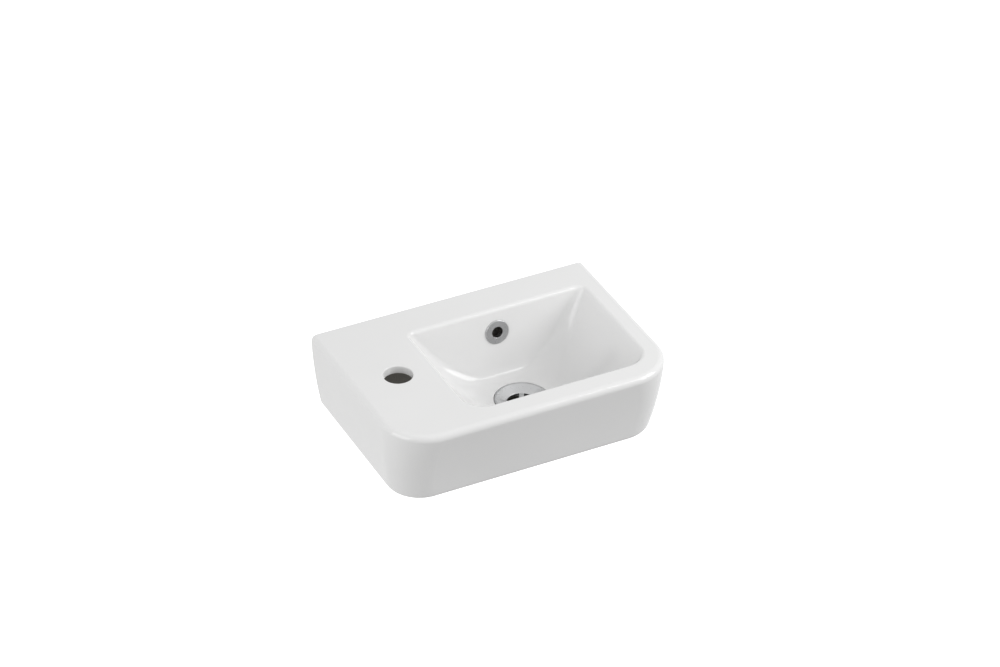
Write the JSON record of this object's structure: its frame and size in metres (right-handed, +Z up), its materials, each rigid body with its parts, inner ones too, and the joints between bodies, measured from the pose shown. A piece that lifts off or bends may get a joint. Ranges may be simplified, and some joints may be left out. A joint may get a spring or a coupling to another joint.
{
  "type": "wall hung basin",
  "caption": "Small wall hung ceramic hand basin with an off-centre bowl, a side tap hole, a ringed overflow, a screwed strainer waste and stud fixings.",
  "frame": {"origin": "on the wall plane, midway between the two wall fixings", "axes": "+X along the wall to the right as seen from the room, +Y into the wall, +Z up"},
  "size_m": [0.3596, 0.3032, 0.174],
  "materials": {
    "glazed_china": "gloss white glaze",
    "chrome_plate": "polished chrome plate",
    "stainless_steel": "turned stainless steel",
    "zinc_steel": "bright zinc plate",
    "seal_rubber": "matt black rubber",
    "white_nylon": "matt moulded nylon"
  },
  "bodies": {
    "root": {"ceramic_basin": "glazed_china", "overflow_ring": "chrome_plate", "waste_strainer": "chrome_plate", "waste_screw": "stainless_steel", "strainer_seal": "seal_rubber", "tail_seal": "seal_rubber", "waste_tail": "chrome_plate", "fixing_studs": "zinc_steel", "fixing_bushes": "white_nylon", "fixing_washers": "zinc_steel", "fixing_nuts": "zinc_steel"}
  },
  "joints": []
}
